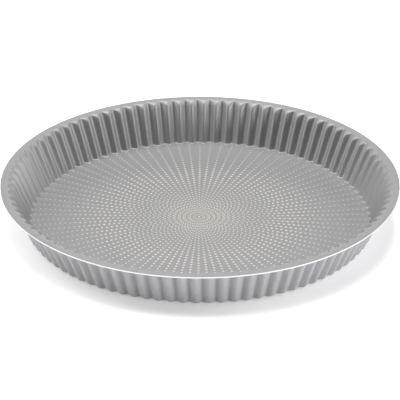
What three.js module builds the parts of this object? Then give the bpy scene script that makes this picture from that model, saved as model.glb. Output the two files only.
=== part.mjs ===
// A fluted pie pan: one pressed aluminium sheet, lined inside with a non-stick coat and lacquered outside.
// Millimetres, +Z up. The origin is the middle of the underside, where the pan rests on a table or a rack.
import * as THREE from "three";

// Driving dimensions
const RIM_DIAMETER = 283; // over the trimmed edge of the flange
const OVERALL_HEIGHT = 30.8; // from the table to the top of the trimmed edge
const FLANGE_WIDTH = 4.1; // nearly flat part of the rim, outside its bend
const FLANGE_RISE = 0.1; // lift of the trimmed edge above the inner end of the flange
const WALL_FLARE = 13.6; // how far the wall leans out between the base and the flange
const FLUTE_COUNT = 89;
const FLUTE_DEPTH_AT_RIM = 3.4; // from a flute's valley to the ridge beside it, below the flange
const FLUTE_DEPTH_AT_FOOT = 1.45;
const FLUTE_SQUARENESS = 1.4; // 1 gives plain waves, and more gives flatter ridges and valleys
const FOOT_RADIUS = 2; // inside the pan, between the base and the wall
const RIM_BEND_RADIUS = 0.85; // under the flange, in a flute's valley
const SHEET_THICKNESS = 0.9;
const LINING_THICKNESS = 0.05;
const LACQUER_THICKNESS = 0.05;

// Facets: the wall has a flat on each ridge, each valley and the flanks between, and the level rings have a
// point at each ridge and valley
const WALL_POINTS = 4 * FLUTE_COUNT;
const LEVEL_POINTS = 2 * FLUTE_COUNT;

// Levels and radii of the sheet's inner face, which the other faces are offset from
const baseLevel = LACQUER_THICKNESS + SHEET_THICKNESS;
const edgeLevel = OVERALL_HEIGHT - LINING_THICKNESS;
const flangeLevel = edgeLevel - FLANGE_RISE;
const wallHeight = flangeLevel - baseLevel;
const rimRadius = RIM_DIAMETER / 2;
const flangeInnerRadius = rimRadius - FLANGE_WIDTH;
const valleyBend = (RIM_BEND_RADIUS + SHEET_THICKNESS) * Math.tan(Math.atan2(wallHeight, WALL_FLARE) / 2);
const valleyRadiusAtRim = flangeInnerRadius - valleyBend;
const valleyRadiusAtFoot = valleyRadiusAtRim - WALL_FLARE;

// How far a flute has opened at a given turn around the pan: 0 on a ridge, 1 in a valley
function fluteOpening(turn) {
  const wave = Math.cos(2 * Math.PI * FLUTE_COUNT * turn);
  return THREE.MathUtils.clamp((1 - FLUTE_SQUARENESS * wave) / 2, 0, 1);
}

function pointAt(turn, radius, level) {
  const angle = 2 * Math.PI * turn;
  return new THREE.Vector3(radius * Math.cos(angle), radius * Math.sin(angle), level);
}

// The section through the wall at one turn: the corners where its straight slope meets base and flange,
// and how far the foot's fillet and the rim's bend run from those corners
function wallSection(turn) {
  const closed = 1 - fluteOpening(turn);
  const foot = valleyRadiusAtFoot - FLUTE_DEPTH_AT_FOOT * closed;
  const top = valleyRadiusAtRim - FLUTE_DEPTH_AT_RIM * closed;
  const slope = new THREE.Vector2(top - foot, wallHeight);
  const fillet = FOOT_RADIUS * Math.tan(slope.angle() / 2);
  slope.normalize();
  return { foot, top, slope, fillet, bend: flangeInnerRadius - top };
}

function flatEnd(turn) {
  const { foot, fillet } = wallSection(turn);
  return pointAt(turn, foot - fillet, baseLevel);
}

function wallFoot(turn) {
  const { foot, slope, fillet } = wallSection(turn);
  return pointAt(turn, foot + fillet * slope.x, baseLevel + fillet * slope.y);
}

function wallTop(turn) {
  const { top, slope, bend } = wallSection(turn);
  return pointAt(turn, top - bend * slope.x, flangeLevel - bend * slope.y);
}

function flangeStart(turn) {
  return pointAt(turn, flangeInnerRadius, flangeLevel);
}

function trimmedEdge(turn) {
  return pointAt(turn, rimRadius, edgeLevel);
}

// The direction from the wall into the pan, square to the flute's own flank
function intoPan(turn) {
  const step = 1 / WALL_POINTS;
  const around = wallTop(turn + step).sub(wallTop(turn - step));
  const upTheWall = wallTop(turn).sub(wallFoot(turn));
  return upTheWall.cross(around).normalize();
}

const straightUp = () => new THREE.Vector3(0, 0, 1);

// Rings of the pan's face, from the middle of the base out to the trimmed edge. A lead of half a step puts the
// wall's points on either side of each ridge and valley.
const RINGS = [
  { count: 1, place: () => pointAt(0, 0, baseLevel), normal: straightUp },
  { count: LEVEL_POINTS, place: flatEnd, normal: straightUp },
  { count: WALL_POINTS, place: wallFoot, normal: intoPan, lead: 0.5 },
  { count: WALL_POINTS, place: wallTop, normal: intoPan, lead: 0.5 },
  { count: LEVEL_POINTS, place: flangeStart, normal: straightUp },
  { count: LEVEL_POINTS, place: trimmedEdge, normal: straightUp },
];

// One whole face of the pan, moved from the sheet's inner face into the pan by the given distance
function panFace(distance) {
  return RINGS.map(({ count, place, normal, lead = 0 }) =>
    Array.from({ length: count }, (_, i) => {
      const turn = (i + lead) / count;
      return place(turn).addScaledVector(normal(turn), distance);
    }),
  );
}

// Triangles between two rings of points, facing up the pan's inner side. Each step moves along the ring that is
// behind, and where both are level, along the one that gives the shorter edge, so that flanks are cut alike.
function stitch(inner, outer) {
  const triangles = [];
  const next = (ring, at) => ring[(at + 1) % ring.length];
  let i = 0;
  let j = 0;
  while (i < inner.length || j < outer.length) {
    const a = inner[i % inner.length];
    const b = outer[j % outer.length];
    const lead = i * outer.length - j * inner.length;
    const innerIsNearer = next(inner, i).distanceTo(b) < next(outer, j).distanceTo(a);
    if (lead < 0 || (lead === 0 && innerIsNearer)) {
      if (inner.length > 1) triangles.push([a, b, next(inner, i)]);
      i += 1;
    } else {
      triangles.push([a, b, next(outer, j)]);
      j += 1;
    }
  }
  return triangles;
}

function faceTriangles(rings) {
  return rings.slice(1).flatMap((ring, i) => stitch(rings[i], ring));
}

// A layer of the pan: the closed solid between two of its faces, with a square edge at the rim
function layer(name, upper, lower, material) {
  const underside = faceTriangles(lower).map(([a, b, c]) => [a, c, b]);
  const edge = stitch(upper.at(-1), lower.at(-1));
  const triangles = [...faceTriangles(upper), ...underside, ...edge];
  const geometry = new THREE.BufferGeometry().setFromPoints(triangles.flat());
  geometry.computeVertexNormals();
  const mesh = new THREE.Mesh(geometry, material);
  mesh.name = name;
  return mesh;
}

const cookingFace = panFace(LINING_THICKNESS);
const sheetInnerFace = panFace(0);
const sheetOuterFace = panFace(-SHEET_THICKNESS);
const lacquerFace = panFace(-SHEET_THICKNESS - LACQUER_THICKNESS);

const aluminium = new THREE.MeshStandardMaterial({ color: 0xd3d5d7, roughness: 0.35, metalness: 1 });
const greyLining = new THREE.MeshStandardMaterial({ color: 0xa3a19f, roughness: 0.5, metalness: 0.1 });
const greyLacquer = new THREE.MeshStandardMaterial({ color: 0xa2a2a6, roughness: 0.45, metalness: 0.1 });

const piePan = new THREE.Group();
piePan.name = "pie_pan";
piePan.add(
  layer("nonstick_lining", cookingFace, sheetInnerFace, greyLining),
  layer("pressed_sheet", sheetInnerFace, sheetOuterFace, aluminium),
  layer("outer_lacquer", sheetOuterFace, lacquerFace, greyLacquer),
);

export default piePan;
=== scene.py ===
"""Looks of a fluted pie pan: a pressed aluminium sheet, its two grey coats and the dots printed inside.

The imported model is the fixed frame, in metres with +Z up. Each piece below stands for one of its nodes, or
lies on one. The stage gives the pan a pale floor, soft studio light and the photograph's viewing angle.
"""

import math

import bmesh
import bpy
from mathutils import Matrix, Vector


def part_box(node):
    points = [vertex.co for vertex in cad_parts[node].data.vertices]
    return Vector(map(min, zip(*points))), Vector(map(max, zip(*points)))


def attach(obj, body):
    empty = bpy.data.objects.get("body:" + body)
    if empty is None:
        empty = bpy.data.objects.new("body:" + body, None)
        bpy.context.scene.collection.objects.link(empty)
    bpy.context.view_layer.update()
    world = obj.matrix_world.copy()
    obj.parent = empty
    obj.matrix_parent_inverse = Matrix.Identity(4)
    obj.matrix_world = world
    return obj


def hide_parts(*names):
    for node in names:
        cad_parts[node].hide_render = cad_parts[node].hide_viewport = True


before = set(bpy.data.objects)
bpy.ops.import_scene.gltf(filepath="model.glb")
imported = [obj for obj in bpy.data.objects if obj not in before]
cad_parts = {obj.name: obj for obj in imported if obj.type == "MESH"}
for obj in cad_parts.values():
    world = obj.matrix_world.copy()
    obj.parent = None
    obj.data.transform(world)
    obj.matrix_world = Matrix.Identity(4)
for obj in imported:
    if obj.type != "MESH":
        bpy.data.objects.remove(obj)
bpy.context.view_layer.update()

bl_info = {
    "name": "Fluted Pie Pan",
    "version": (1, 0, 0),
    "blender": (4, 5, 0),
    "location": "3D View > Sidebar > Pie Pan",
    "description": "Models a pressed, coated and printed pie pan around its construction model",
    "category": "Add Mesh",
}

BODY = "root"

# Steps along the pan's section
FLANGE_STEPS = 4
BEND_STEPS = 6
WALL_STEPS = 5
FOOT_STEPS = 4

SMOOTH_ANGLE = math.radians(50)
MERGE_DISTANCE = 1e-6  # far less than any step of the mesh
CLEARANCE = 3e-6  # keeps the coats' outer faces inside the construction model's box

SHADER = "Principled BSDF"
GRAIN_LOW = 0.3  # most of a noise lies between these two
GRAIN_HIGH = 0.7
GRAIN_DETAIL = 2
ROUGHNESS_SPREAD = 0.05
COAT_SPECULAR = 0.03  # low, because the coats' shine comes from their metal flake
FLOOR_ROUGHNESS = 0.9
SENSOR_WIDTH = 36  # millimetres, as Blender's lenses are
VIEW_END = 50  # metres, past the floor's far edge

# The construction model's own levels: the sheet lies between its two coats. Its rim is a ring of straight
# facets, which is narrowest along Y, and a round rim as wide as that lies inside it.
LINING_LOW, LINING_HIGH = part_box("nonstick_lining")
SHEET_LOW, SHEET_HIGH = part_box("pressed_sheet")
LACQUER_LOW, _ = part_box("outer_lacquer")

# Softboxes and cards: name, turn around the pan and rise over the floor in degrees, width and height in
# metres, and power in watts. The low cards light the outer wall and leave the inside to the higher boxes.
SOFTBOXES = (
    ("overhead_softbox", 0, 90, 0.9, 0.9, 25.0),
    ("back_overhead_softbox", 90, 65, 0.9, 0.9, 16.5),
    ("left_overhead_softbox", 180, 65, 0.9, 0.9, 7.6),
    ("left_softbox", 165, 40, 0.9, 0.9, 14.5),
    ("right_softbox", 0, 40, 0.9, 0.9, 6.0),
    ("low_right_softbox", 0, 28, 0.9, 0.9, 13.0),
    ("back_softbox", 90, 15, 0.9, 0.9, 4.5),
    ("low_left_softbox", 170, 15, 0.9, 0.9, 5.0),
    ("left_front_softbox", 200, 15, 0.9, 0.9, 8.5),
    ("backdrop_card", 90, 6, 2.4, 0.36, 6.0),
    ("right_card", 330, 5, 0.9, 0.3, 25.0),
    ("left_card", 205, 5, 0.9, 0.3, 6.0),
)


class PanSizes(bpy.types.PropertyGroup):
    """Sizes of the pressing, measured on the sheet's inner face."""

    rim_radius: bpy.props.FloatProperty(
        name="Rim radius", description="From the axis to the trimmed edge", default=SHEET_HIGH.y,
        unit="LENGTH")
    flange_level: bpy.props.FloatProperty(
        name="Flange level", description="Top of the sheet on the flange's crown", default=SHEET_HIGH.z,
        unit="LENGTH")
    base_level: bpy.props.FloatProperty(
        name="Base level", description="Top of the sheet in the base", default=LINING_LOW.z, unit="LENGTH")
    sheet: bpy.props.FloatProperty(
        name="Sheet", description="Thickness of the sheet", default=LINING_LOW.z - SHEET_LOW.z,
        unit="LENGTH")
    lining: bpy.props.FloatProperty(
        name="Lining", description="Thickness of the non-stick coat",
        default=LINING_HIGH.z - SHEET_HIGH.z - CLEARANCE, unit="LENGTH")
    lacquer: bpy.props.FloatProperty(
        name="Lacquer", description="Thickness of the outer coat",
        default=SHEET_LOW.z - LACQUER_LOW.z - CLEARANCE, unit="LENGTH")
    flange_width: bpy.props.FloatProperty(
        name="Flange width", description="Nearly flat part of the rim", default=0.0041, unit="LENGTH")
    flange_crown: bpy.props.FloatProperty(
        name="Flange crown", description="How far the flange bulges up between its ends", default=0.00009,
        unit="LENGTH")
    edge_flat: bpy.props.FloatProperty(
        name="Edge flat", description="Level strip beside the trimmed edge", default=0.0003, unit="LENGTH")
    wall_flare: bpy.props.FloatProperty(
        name="Wall flare", description="How far the wall leans out between base and flange", default=0.0136,
        unit="LENGTH")
    valley_bend: bpy.props.FloatProperty(
        name="Bend in a valley", description="Run of the rim's bend in the middle of a flute",
        default=0.00112, unit="LENGTH")
    foot_radius: bpy.props.FloatProperty(
        name="Foot radius", description="Fillet between base and wall", default=0.002, unit="LENGTH")
    flute_count: bpy.props.IntProperty(
        name="Flutes", description="Flutes around the wall", default=89)
    flute_columns: bpy.props.IntProperty(
        name="Columns", description="Steps across each flute", default=16)
    flute_depth_at_rim: bpy.props.FloatProperty(
        name="Depth at rim", description="From valley to ridge below the flange", default=0.0036,
        unit="LENGTH")
    flute_depth_at_foot: bpy.props.FloatProperty(
        name="Depth at foot", description="From valley to ridge at the base", default=0.0021, unit="LENGTH")
    depth_ease: bpy.props.FloatProperty(
        name="Depth ease", default=1.3,
        description="1 deepens a flute evenly up the wall, and more deepens it sooner")
    flank_flatness: bpy.props.FloatProperty(
        name="Flank flatness", description="Near 0 gives round waves, near 1 gives flat flanks",
        default=0.6, subtype="FACTOR")


class PrintSizes(bpy.types.PropertyGroup):
    """Sizes of the dots printed on the lining, in lines that run out from the middle of the base."""

    line_count: bpy.props.IntProperty(name="Lines", description="Radial lines of dots", default=90)
    line_turn: bpy.props.FloatProperty(
        name="First line", description="Angle of the first line", default=math.radians(1.95),
        subtype="ANGLE")
    spacing: bpy.props.FloatProperty(
        name="Spacing", description="From dot to dot along a line", default=0.003575, unit="LENGTH")
    even_start: bpy.props.FloatProperty(
        name="Even start", description="First dot of an even line, in spacings", default=0.82)
    odd_start: bpy.props.FloatProperty(
        name="Odd start", description="First dot of an odd line, in spacings", default=1.17)
    reach: bpy.props.FloatProperty(
        name="Reach", description="Radius that the lines run out to", default=0.1187, unit="LENGTH")
    centre: bpy.props.FloatVectorProperty(
        name="Centre", description="Middle of the print, a little off the pan's axis", size=2,
        default=(-0.00067, 0.00013), subtype="TRANSLATION")
    centre_dot: bpy.props.FloatProperty(
        name="Centre dot", description="Diameter of the one dot in the middle", default=0.0017,
        unit="LENGTH")
    plain_dot: bpy.props.FloatProperty(
        name="Plain dot", description="Diameter of the dots around the middle", default=0.00112,
        unit="LENGTH")
    plain_from: bpy.props.FloatProperty(
        name="Plain from", description="Radius where the dots have grown to that", default=0.017,
        unit="LENGTH")
    plain_to: bpy.props.FloatProperty(
        name="Plain to", description="Radius where the dots begin to widen", default=0.038, unit="LENGTH")
    widest_dot: bpy.props.FloatProperty(
        name="Widest dot", description="Diameter of the widest dots", default=0.00172, unit="LENGTH")
    widest_at: bpy.props.FloatProperty(
        name="Widest at", description="Radius of the widest dots", default=0.067, unit="LENGTH")
    edge_dot: bpy.props.FloatProperty(
        name="Edge dot", description="Diameter of the dots near the wall", default=0.001, unit="LENGTH")
    edge_from: bpy.props.FloatProperty(
        name="Edge from", description="Radius where the dots reach their size near the wall", default=0.102,
        unit="LENGTH")
    closest: bpy.props.FloatProperty(
        name="Closest", description="Widest that a dot may be, as a share of the room in its ring",
        default=0.9, subtype="FACTOR")
    ink: bpy.props.FloatProperty(
        name="Ink", description="Thickness of the ink", default=0.00002, unit="LENGTH")
    dot_sides: bpy.props.IntProperty(name="Sides", description="Sides of a dot's outline", default=12)
    dot_top: bpy.props.FloatProperty(
        name="Top", description="Width of a dot's top, as a share of its foot", default=0.84,
        subtype="FACTOR")


class Finishes(bpy.types.PropertyGroup):
    """Colours of the finishes as sRGB hex values, and how glossy the coats are."""

    lining: bpy.props.StringProperty(name="Lining", description="Non-stick coat", default="#8E8E8F")
    lining_flake: bpy.props.FloatProperty(
        name="Lining flake", description="Share of metal flake in the lining", default=0.5,
        subtype="FACTOR")
    lining_roughness: bpy.props.FloatProperty(
        name="Lining roughness", description="Roughness of the lining", default=0.5, subtype="FACTOR")
    lacquer: bpy.props.StringProperty(name="Lacquer", description="Outer coat", default="#A0A0A3")
    lacquer_flake: bpy.props.FloatProperty(
        name="Lacquer flake", description="Share of metal flake in the lacquer", default=0.1,
        subtype="FACTOR")
    lacquer_roughness: bpy.props.FloatProperty(
        name="Lacquer roughness", description="Roughness of the lacquer", default=0.4, subtype="FACTOR")
    metal: bpy.props.StringProperty(name="Metal", description="Bare trimmed edge", default="#CDCECF")
    ink: bpy.props.StringProperty(name="Ink", description="Ink of the dots", default="#BDB6A6")
    floor: bpy.props.StringProperty(name="Floor", description="Studio floor", default="#F4F4F4")


class StageSizes(bpy.types.PropertyGroup):
    """Camera, floor and lights."""

    distance: bpy.props.FloatProperty(
        name="Distance", description="From the camera to the middle of the rim", default=1.6338,
        unit="LENGTH")
    elevation: bpy.props.FloatProperty(
        name="Elevation", description="Camera's height over the rim", default=math.radians(26.81),
        subtype="ANGLE")
    bearing: bpy.props.FloatProperty(
        name="Bearing", description="Camera's turn around the pan", default=math.radians(-89.75),
        subtype="ANGLE")
    lens: bpy.props.FloatProperty(
        name="Lens", description="Focal length for a sensor 36 mm wide", default=207, unit="CAMERA")
    aim_drop: bpy.props.FloatProperty(
        name="Aim", description="How far below the rim's middle the camera aims, square to its view",
        default=0.01429, unit="LENGTH")
    floor_size: bpy.props.FloatProperty(
        name="Floor", description="Side of the floor", default=12, unit="LENGTH")
    floor_glow: bpy.props.FloatProperty(
        name="Floor glow", description="Light that the floor gives from below, as a light table",
        default=0.25)
    light_distance: bpy.props.FloatProperty(
        name="Light distance", description="From the pan to each softbox", default=2, unit="LENGTH")


def linear(code):
    """A hex sRGB colour as linear red, green, blue and alpha."""
    shares = [int(code[at:at + 2], 16) / 255 for at in (1, 3, 5)]
    return [s / 12.92 if s <= 0.04045 else ((s + 0.055) / 1.055) ** 2.4 for s in shares] + [1]


def add_node(tree, kind, inputs, **settings):
    """Adds a node with its settings, and sets or links its inputs."""
    node = tree.nodes.new(kind)
    for name, value in settings.items():
        setattr(node, name, value)
    for name, value in inputs.items():
        if isinstance(value, bpy.types.NodeSocket):
            tree.links.new(value, node.inputs[name])
        else:
            node.inputs[name].default_value = value
    return node


def new_material(name, **shader_inputs):
    """A node material with the given inputs of its shader, their words joined by underscores."""
    material = bpy.data.materials.new(name)
    material.use_nodes = True
    shader = material.node_tree.nodes[SHADER]
    for words, value in shader_inputs.items():
        shader.inputs[words.replace("_", " ")].default_value = value
    return material


def finish(name, colour, grain, tone, roughness, relief, stretch=(1, 1, 1), **shader_inputs):
    """A finish with one grain, of the given size, that shifts its tone, roughness and relief together."""
    material = new_material(name, **shader_inputs)
    tree = material.node_tree
    shader = tree.nodes[SHADER]
    place = add_node(tree, "ShaderNodeTexCoord", {})
    run = add_node(tree, "ShaderNodeMapping", {"Vector": place.outputs["Object"], "Scale": stretch})
    noise = add_node(
        tree, "ShaderNodeTexNoise",
        {"Vector": run.outputs["Vector"], "Scale": 1 / grain, "Detail": GRAIN_DETAIL}, label="Grain")
    ends = {"Value": noise.outputs["Fac"], "From Min": GRAIN_LOW, "From Max": GRAIN_HIGH}
    gain = add_node(
        tree, "ShaderNodeMapRange", ends | {"To Min": 1 - tone, "To Max": 1 + tone}, label="Tone")
    rough = add_node(
        tree, "ShaderNodeMapRange",
        ends | {"To Min": roughness - ROUGHNESS_SPREAD, "To Max": roughness + ROUGHNESS_SPREAD},
        label="Roughness")
    hue = add_node(
        tree, "ShaderNodeHueSaturation", {"Color": linear(colour), "Value": gain.outputs["Result"]})
    bump = add_node(tree, "ShaderNodeBump", {"Height": noise.outputs["Fac"], "Distance": relief})
    tree.links.new(hue.outputs["Color"], shader.inputs["Base Color"])
    tree.links.new(rough.outputs["Result"], shader.inputs["Roughness"])
    tree.links.new(bump.outputs["Normal"], shader.inputs["Normal"])
    return material


def flute_opening(sizes, turn):
    """How far a flute has opened at one turn around the pan: 0 on a ridge, 1 in the middle of a valley."""
    wave = -math.cos(math.tau * sizes.flute_count * turn)
    return (1 + math.asin(sizes.flank_flatness * wave) / math.asin(sizes.flank_flatness)) / 2


def rounded(before, corner, after, steps):
    """Points of a smooth corner, from the point before it to the point after it."""
    shares = [step / steps for step in range(steps + 1)]
    return [before.lerp(corner, t).lerp(corner.lerp(after, t), t) for t in shares]


def section(sizes, turn):
    """The pan's section at one turn around it, as radius and level, from the edge in to the flat base."""
    closed = 1 - flute_opening(sizes, turn)
    flange_level = sizes.flange_level - sizes.flange_crown
    flange_start = Vector((sizes.rim_radius - sizes.flange_width, flange_level))
    valley_top = Vector((flange_start.x - sizes.valley_bend, flange_level))
    valley_foot = Vector((valley_top.x - sizes.wall_flare, sizes.base_level))
    wall = []
    for step in range(WALL_STEPS + 1):
        rise = step / WALL_STEPS
        deepened = 1 - (1 - rise) ** sizes.depth_ease
        deepening = (sizes.flute_depth_at_rim - sizes.flute_depth_at_foot) * deepened
        depth = sizes.flute_depth_at_foot + deepening
        wall.append(valley_foot.lerp(valley_top, rise) - Vector((depth * closed, 0)))
    foot, top = wall[0], wall[-1]
    from_foot = (wall[1] - foot).normalized()
    from_top = (wall[-2] - top).normalized()
    fillet = sizes.foot_radius * math.tan(math.atan2(from_foot.y, from_foot.x) / 2)
    bend = flange_start.x - top.x
    edge = Vector((sizes.rim_radius, flange_level))
    flange_end = edge - Vector((sizes.edge_flat, 0))
    # A rounded corner passes half way up to its corner point
    crown = (flange_end + flange_start) / 2 + Vector((0, 2 * sizes.flange_crown))
    points = [edge] + rounded(flange_end, crown, flange_start, FLANGE_STEPS)[:-1]
    points += rounded(flange_start, top, top + from_top * bend, BEND_STEPS)
    points += reversed(wall[1:-1])
    points += rounded(foot + from_foot * fillet, foot, foot - Vector((fillet, 0)), FOOT_STEPS)
    return points


def wave_steps(points, sizes):
    """A ring's points sorted by their step from ridge to valley, with both flanks of a flute together."""
    steps = {}
    columns = sizes.flute_columns
    for point in points:
        turn = math.atan2(point.co.y, point.co.x) / math.tau
        column = round(turn * sizes.flute_count * columns) % columns
        steps.setdefault(min(column, columns - column), []).append(point)
    return steps


def set_ring(mesh, sections, ring, sizes):
    """Scales and lifts the selected ring, step by step of the flute's wave, to its place in the section."""
    form = bmesh.from_edit_mesh(mesh)
    points = [point for point in form.verts if point.select]
    for step, group in wave_steps(points, sizes).items():
        radius, level = sections[step][ring]
        scale = radius / group[0].co.xy.length
        bpy.ops.mesh.select_all(action="DESELECT")
        for point in group:
            point.select_set(True)
        bpy.ops.transform.resize(value=(scale, scale, 1), center_override=(0, 0, 0))
        bpy.ops.transform.translate(value=(0, 0, level - group[0].co.z))
    for point in points:
        point.select_set(True)
    form.select_flush_mode()


def spin_copies(count, centre):
    """Copies what is selected around an upright axis, so that there are count of it."""
    bpy.ops.mesh.spin(
        steps=count - 1, dupli=True, angle=math.tau * (count - 1) / count, center=centre, axis=(0, 0, 1))


def model_pressing(sizes, name):
    """Models the sheet's inner face: one flute, extruded ring by ring from rim to axis, and spun."""
    columns = sizes.flute_columns * sizes.flute_count
    sections = [section(sizes, step / columns) for step in range(sizes.flute_columns // 2 + 1)]
    bpy.ops.object.select_all(action="DESELECT")
    bpy.ops.mesh.primitive_circle_add(vertices=columns, radius=sizes.rim_radius)
    pressing = bpy.context.object
    pressing.name = name
    bpy.ops.object.mode_set(mode="EDIT")
    bpy.ops.mesh.select_all(action="DESELECT")
    form = bmesh.from_edit_mesh(pressing.data)
    pitch = math.tau / sizes.flute_count
    spare = pitch / columns
    for point in form.verts:
        angle = math.atan2(point.co.y, point.co.x)
        point.select_set(not -spare < angle < pitch + spare)
    form.select_flush_mode()
    bpy.ops.mesh.delete(type="VERT")
    bpy.ops.mesh.select_all(action="SELECT")
    set_ring(pressing.data, sections, 0, sizes)
    for ring in range(1, len(sections[0])):
        bpy.ops.mesh.extrude_region()
        set_ring(pressing.data, sections, ring, sizes)
    bpy.ops.mesh.extrude_region()
    bpy.ops.transform.resize(value=(0, 0, 1), center_override=(0, 0, 0))
    bpy.ops.mesh.select_all(action="SELECT")
    spin_copies(sizes.flute_count, (0, 0, 0))
    bpy.ops.mesh.select_all(action="SELECT")
    bpy.ops.mesh.remove_doubles(threshold=MERGE_DISTANCE)
    bpy.ops.mesh.flip_normals()
    bpy.ops.object.mode_set(mode="OBJECT")
    return pressing


def add_layer(sizes, name, inner, outer):
    """One layer of the pan, between two distances from the sheet's inner face, counted into the pan."""
    layer = model_pressing(sizes, name)
    thickness = inner - outer
    modifier = layer.modifiers.new("Thickness", "SOLIDIFY")
    modifier.thickness = thickness
    modifier.offset = (inner + outer) / thickness
    modifier.use_even_offset = True
    bpy.ops.object.modifier_apply(modifier=modifier.name)
    bpy.ops.object.shade_smooth_by_angle(angle=SMOOTH_ANGLE)
    return layer


def dress(piece, material, node=None):
    """Checks that a piece is closed, gives it its material and its body, and hides the construction part
    that it stands for.
    """
    form = bmesh.new()
    form.from_mesh(piece.data)
    gaps = sum(not edge.is_manifold for edge in form.edges)
    form.free()
    if gaps:
        raise RuntimeError(f"{piece.name} has {gaps} open edges")
    piece.data.name = piece.name
    piece.data.materials.clear()
    piece.data.materials.append(material)
    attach(piece, BODY)
    if node:
        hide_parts(node)


class PIEPAN_OT_press_sheet(bpy.types.Operator):
    """Press the aluminium sheet, whose bare trimmed edge shows at the rim"""

    bl_idname = "piepan.press_sheet"
    bl_label = "Press Sheet"

    def execute(self, context):
        sizes = context.scene.pan_sizes
        sheet = add_layer(sizes, "sheet_pressing", 0, -sizes.sheet)
        # Commercially pure aluminium sheet, sheared after pressing: a bright satin line with drag marks
        # through its thickness. Real marks are about 0.1 mm apart, and here 0.4 mm, so that a few show.
        material = finish(
            "sheared_aluminium", context.scene.pan_finishes.metal, grain=0.0004, tone=0.03, roughness=0.35,
            relief=0.00001, stretch=(1, 1, 0), Metallic=1)
        dress(sheet, material, "pressed_sheet")
        return {"FINISHED"}


class PIEPAN_OT_line_inside(bpy.types.Operator):
    """Coat the inside of the pan with its non-stick lining"""

    bl_idname = "piepan.line_inside"
    bl_label = "Line Inside"

    def execute(self, context):
        sizes = context.scene.pan_sizes
        finishes = context.scene.pan_finishes
        lining = add_layer(sizes, "lining_coat", sizes.lining, 0)
        # Sprayed and baked fluoropolymer, filled with metal flake: a satin silvery grey that draws soft
        # bright lines along ridges and valleys. Its orange peel is about 1 mm across and microns high.
        material = finish(
            "grey_nonstick_coat", finishes.lining, grain=0.001, tone=0.03,
            roughness=finishes.lining_roughness, relief=0.000005, Metallic=finishes.lining_flake,
            Specular_IOR_Level=COAT_SPECULAR)
        dress(lining, material, "nonstick_lining")
        return {"FINISHED"}


class PIEPAN_OT_lacquer_outside(bpy.types.Operator):
    """Coat the outside of the pan with its lacquer"""

    bl_idname = "piepan.lacquer_outside"
    bl_label = "Lacquer Outside"

    def execute(self, context):
        sizes = context.scene.pan_sizes
        finishes = context.scene.pan_finishes
        lacquer = add_layer(sizes, "lacquer_coat", -sizes.sheet, -sizes.sheet - sizes.lacquer)
        # Baked silver-grey lacquer with a little aluminium flake: paler and cooler than the lining and
        # nearly matt, so that the flutes shade softly. It has the same orange peel, a little coarser.
        material = finish(
            "silver_grey_lacquer", finishes.lacquer, grain=0.0012, tone=0.03,
            roughness=finishes.lacquer_roughness, relief=0.000005, Metallic=finishes.lacquer_flake,
            Specular_IOR_Level=COAT_SPECULAR)
        dress(lacquer, material, "outer_lacquer")
        return {"FINISHED"}


def ease(low, high, at):
    """A smooth step from 0 at low to 1 at high."""
    share = min(max((at - low) / (high - low), 0), 1)
    return share * share * (3 - 2 * share)


def dot_diameter(sizes, radius):
    """Diameter of the dots at one radius: widest half way out, smaller in the middle and by the wall."""
    grown = sizes.plain_dot * math.sqrt(min(radius / sizes.plain_from, 1))
    widened = (sizes.widest_dot - sizes.plain_dot) * ease(sizes.plain_to, sizes.widest_at, radius)
    narrowed = (sizes.widest_dot - sizes.edge_dot) * ease(sizes.widest_at, sizes.edge_from, radius)
    room = sizes.closest * math.tau * radius / (sizes.line_count // 2)
    return min(grown + widened - narrowed, room)


def add_dot(sizes, place, across):
    """One dot of ink on the point under its middle."""
    bpy.ops.mesh.primitive_cone_add(
        vertices=sizes.dot_sides, radius1=across / 2, radius2=sizes.dot_top * across / 2, depth=sizes.ink,
        location=place + Vector((0, 0, sizes.ink / 2)))


class PIEPAN_OT_print_dots(bpy.types.Operator):
    """Print the dots on the lining, two lines of them copied around the middle"""

    bl_idname = "piepan.print_dots"
    bl_label = "Print Dots"

    def execute(self, context):
        sizes = context.scene.print_sizes
        pan = context.scene.pan_sizes
        centre = Vector((*sizes.centre, pan.base_level + pan.lining))
        step = math.tau / sizes.line_count
        bpy.ops.object.select_all(action="DESELECT")
        bpy.ops.mesh.primitive_plane_add()
        piece = bpy.context.object
        piece.name = "dot_print"
        bpy.ops.object.mode_set(mode="EDIT")
        bpy.ops.mesh.delete(type="VERT")
        for line, start in ((0, sizes.even_start), (1, sizes.odd_start)):
            angle = sizes.line_turn + line * step
            outwards = Vector((math.cos(angle), math.sin(angle), 0))
            count = int(sizes.reach / sizes.spacing - start) + 1
            for dot in range(count):
                radius = (start + dot) * sizes.spacing
                add_dot(sizes, centre + outwards * radius, dot_diameter(sizes, radius))
        bpy.ops.mesh.select_all(action="SELECT")
        spin_copies(sizes.line_count // 2, centre)
        add_dot(sizes, centre, sizes.centre_dot)
        bpy.ops.object.mode_set(mode="OBJECT")
        # Screen-printed cream ink, matt and baked with the lining. A real dot is mottled over about 0.2 mm,
        # and here over 0.5 mm, so that dots differ a little from one another.
        material = finish(
            "cream_screen_ink", context.scene.pan_finishes.ink, grain=0.0005, tone=0.03, roughness=0.55,
            relief=0.000002)
        dress(piece, material)
        return {"FINISHED"}


def add_softbox(name, place, width, height, power):
    """A plain rectangular studio light that faces the pan."""
    bpy.ops.object.light_add(type="AREA", location=place)
    light = bpy.context.object
    light.name = name
    light.rotation_euler = (-place).to_track_quat("-Z", "Y").to_euler()
    light.data.shape = "RECTANGLE"
    light.data.size = width
    light.data.size_y = height
    light.data.energy = power


def towards(turn, rise):
    """The direction at one turn around the pan and one rise over the floor."""
    return Vector((math.cos(rise) * math.cos(turn), math.cos(rise) * math.sin(turn), math.sin(rise)))


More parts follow.
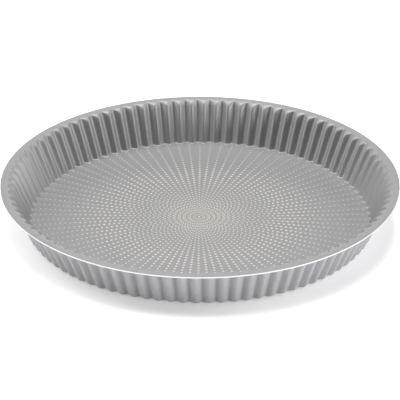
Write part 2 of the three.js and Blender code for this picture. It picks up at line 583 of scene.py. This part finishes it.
class PIEPAN_OT_set_stage(bpy.types.Operator):
    """Set the floor, the soft studio light and the camera"""

    bl_idname = "piepan.set_stage"
    bl_label = "Set Stage"

    def execute(self, context):
        scene = context.scene
        stage = scene.stage_sizes
        bpy.ops.object.select_all(action="DESELECT")
        bpy.ops.mesh.primitive_plane_add(size=stage.floor_size)
        floor = bpy.context.object
        floor.name = "studio_floor"
        # Opal acrylic light table: matt white, lit a little from below, so that the shadow stays faint
        material = new_material(
            "white_light_table", Base_Color=linear(scene.pan_finishes.floor), Roughness=FLOOR_ROUGHNESS,
            Emission_Color=(1, 1, 1, 1), Emission_Strength=stage.floor_glow)
        floor.data.materials.append(material)

        world = bpy.data.worlds.new("dark_studio")
        world.use_nodes = True
        world.node_tree.nodes["Background"].inputs["Strength"].default_value = 0
        scene.world = world
        for name, turn, rise, width, height, power in SOFTBOXES:
            place = stage.light_distance * towards(math.radians(turn), math.radians(rise))
            add_softbox(name, place, width, height, power)

        middle = Vector((0, 0, scene.pan_sizes.flange_level))
        view = towards(stage.bearing, stage.elevation)
        place = middle + view * stage.distance
        up = Vector((0, 0, 1)) - view * view.z
        aim = middle - up.normalized() * stage.aim_drop
        bpy.ops.object.camera_add(location=place)
        camera = bpy.context.object
        camera.name = "photo_camera"
        camera.rotation_euler = (aim - place).to_track_quat("-Z", "Y").to_euler()
        camera.data.lens = stage.lens
        camera.data.sensor_width = SENSOR_WIDTH
        camera.data.clip_end = VIEW_END
        scene.camera = camera
        scene.view_settings.view_transform = "Standard"
        return {"FINISHED"}


class PIEPAN_PT_panel(bpy.types.Panel):
    """Lists the pan's pieces in the order that they are made, and their settings"""

    bl_idname = "PIEPAN_PT_panel"
    bl_label = "Pie Pan"
    bl_space_type = "VIEW_3D"
    bl_region_type = "UI"
    bl_category = "Pie Pan"

    def draw(self, context):
        for operator in OPERATORS:
            self.layout.operator(operator.bl_idname)
        for name, group in SETTINGS.items():
            box = self.layout.box()
            for setting in group.__annotations__:
                box.prop(getattr(context.scene, name), setting)


OPERATORS = (
    PIEPAN_OT_press_sheet,
    PIEPAN_OT_line_inside,
    PIEPAN_OT_lacquer_outside,
    PIEPAN_OT_print_dots,
    PIEPAN_OT_set_stage,
)
SETTINGS = {
    "pan_sizes": PanSizes,
    "print_sizes": PrintSizes,
    "pan_finishes": Finishes,
    "stage_sizes": StageSizes,
}


def register():
    for group in SETTINGS.values():
        bpy.utils.register_class(group)
    for name, group in SETTINGS.items():
        setattr(bpy.types.Scene, name, bpy.props.PointerProperty(type=group))
    for operator in OPERATORS:
        bpy.utils.register_class(operator)
    bpy.utils.register_class(PIEPAN_PT_panel)


def unregister():
    bpy.utils.unregister_class(PIEPAN_PT_panel)
    for operator in reversed(OPERATORS):
        bpy.utils.unregister_class(operator)
    for name, group in SETTINGS.items():
        delattr(bpy.types.Scene, name)
        bpy.utils.unregister_class(group)


def main():
    """Makes the pan and its stage."""
    register()
    bpy.ops.piepan.press_sheet()
    bpy.ops.piepan.line_inside()
    bpy.ops.piepan.lacquer_outside()
    bpy.ops.piepan.print_dots()
    bpy.ops.piepan.set_stage()


if __name__ == "__main__":
    main()
